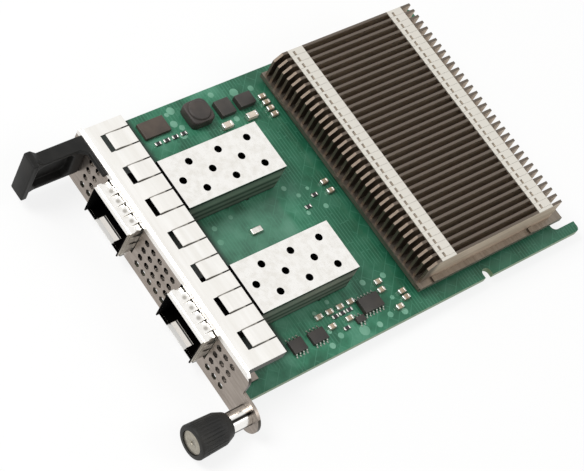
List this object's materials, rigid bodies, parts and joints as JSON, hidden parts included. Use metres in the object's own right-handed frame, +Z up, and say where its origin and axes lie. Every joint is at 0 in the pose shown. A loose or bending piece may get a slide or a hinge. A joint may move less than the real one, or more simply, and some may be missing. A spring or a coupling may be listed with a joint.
{
  "type": "ethernet adapter card",
  "caption": "Flat plug-in server network card with a folded faceplate, module ports, grounding fingers, a pull tab, a captive thumbscrew and a stacked-fin heat sink on a green board.",
  "frame": {"origin": "on the board's top face, at the middle of its width, in the faceplate's front plane", "axes": "+X along the faceplate from the pull tab to the thumbscrew, +Y from the faceplate to the card edge, +Z up from the board's top face"},
  "size_m": [0.0835, 0.1302, 0.0173],
  "materials": {
    "bottom_insulator": "matt film",
    "ceramic_capacitors": "fired, tinned ends",
    "chip_resistors": "fired, tinned ends",
    "circuit_board": "green solder mask",
    "connector_contacts_far": "gold flash",
    "connector_contacts_near": "gold flash",
    "controller_chip": "moulded",
    "crystal": "bright can",
    "driver_chips": "moulded",
    "faceplate": "plated sheet",
    "film_capacitors": "fired",
    "fin_stack": "plain sheet",
    "foot_screws": "plated",
    "heat_sink_base": "plain",
    "heat_sink_screws": "plated",
    "logic_chips": "moulded",
    "memory_chip": "moulded",
    "port_cage_far": "bright sheet",
    "port_cage_near": "bright sheet",
    "port_collar_far": "bright spring sheet",
    "port_collar_near": "bright spring sheet",
    "port_connector_far": "moulded",
    "port_connector_near": "moulded",
    "power_inductor": "moulded powder",
    "pull_tab": "satin moulding",
    "pull_tab_screws": "plated",
    "regulator_chip": "moulded",
    "retaining_ring": "stamped",
    "thermal_pad": "soft",
    "thumbscrew_knob": "satin moulding",
    "thumbscrew_shank": "turned",
    "thumbscrew_sleeve": "turned and polished",
    "top_spring_fingers": "bright spring sheet"
  },
  "bodies": {
    "card": {"bottom_insulator": "bottom_insulator", "ceramic_capacitors": "ceramic_capacitors", "chip_resistors": "chip_resistors", "circuit_board": "circuit_board", "connector_contacts_far": "connector_contacts_far", "connector_contacts_near": "connector_contacts_near", "controller_chip": "controller_chip", "crystal": "crystal", "driver_chips": "driver_chips", "faceplate": "faceplate", "film_capacitors": "film_capacitors", "fin_stack": "fin_stack", "foot_screws": "foot_screws", "heat_sink_base": "heat_sink_base", "heat_sink_screws": "heat_sink_screws", "logic_chips": "logic_chips", "memory_chip": "memory_chip", "port_cage_far": "port_cage_far", "port_cage_near": "port_cage_near", "port_collar_far": "port_collar_far", "port_collar_near": "port_collar_near", "port_connector_far": "port_connector_far", "port_connector_near": "port_connector_near", "power_inductor": "power_inductor", "pull_tab": "pull_tab", "pull_tab_screws": "pull_tab_screws", "regulator_chip": "regulator_chip", "thermal_pad": "thermal_pad", "thumbscrew_sleeve": "thumbscrew_sleeve", "top_spring_fingers": "top_spring_fingers"},
    "screw_keeper": {"retaining_ring": "retaining_ring"},
    "thumbscrew": {"thumbscrew_knob": "thumbscrew_knob", "thumbscrew_shank": "thumbscrew_shank"}
  },
  "joints": [
    {"name": "screw_advance", "type": "slide", "parent": "card", "child": "screw_keeper", "axis": [0, 1, 0], "range_m": [0, 0.0045]},
    {"name": "screw_turn", "type": "hinge", "parent": "screw_keeper", "child": "thumbscrew", "pos_m": [0.0409, 0, 0.0007], "axis": [0, 1, 0], "continuous": true}
  ]
}
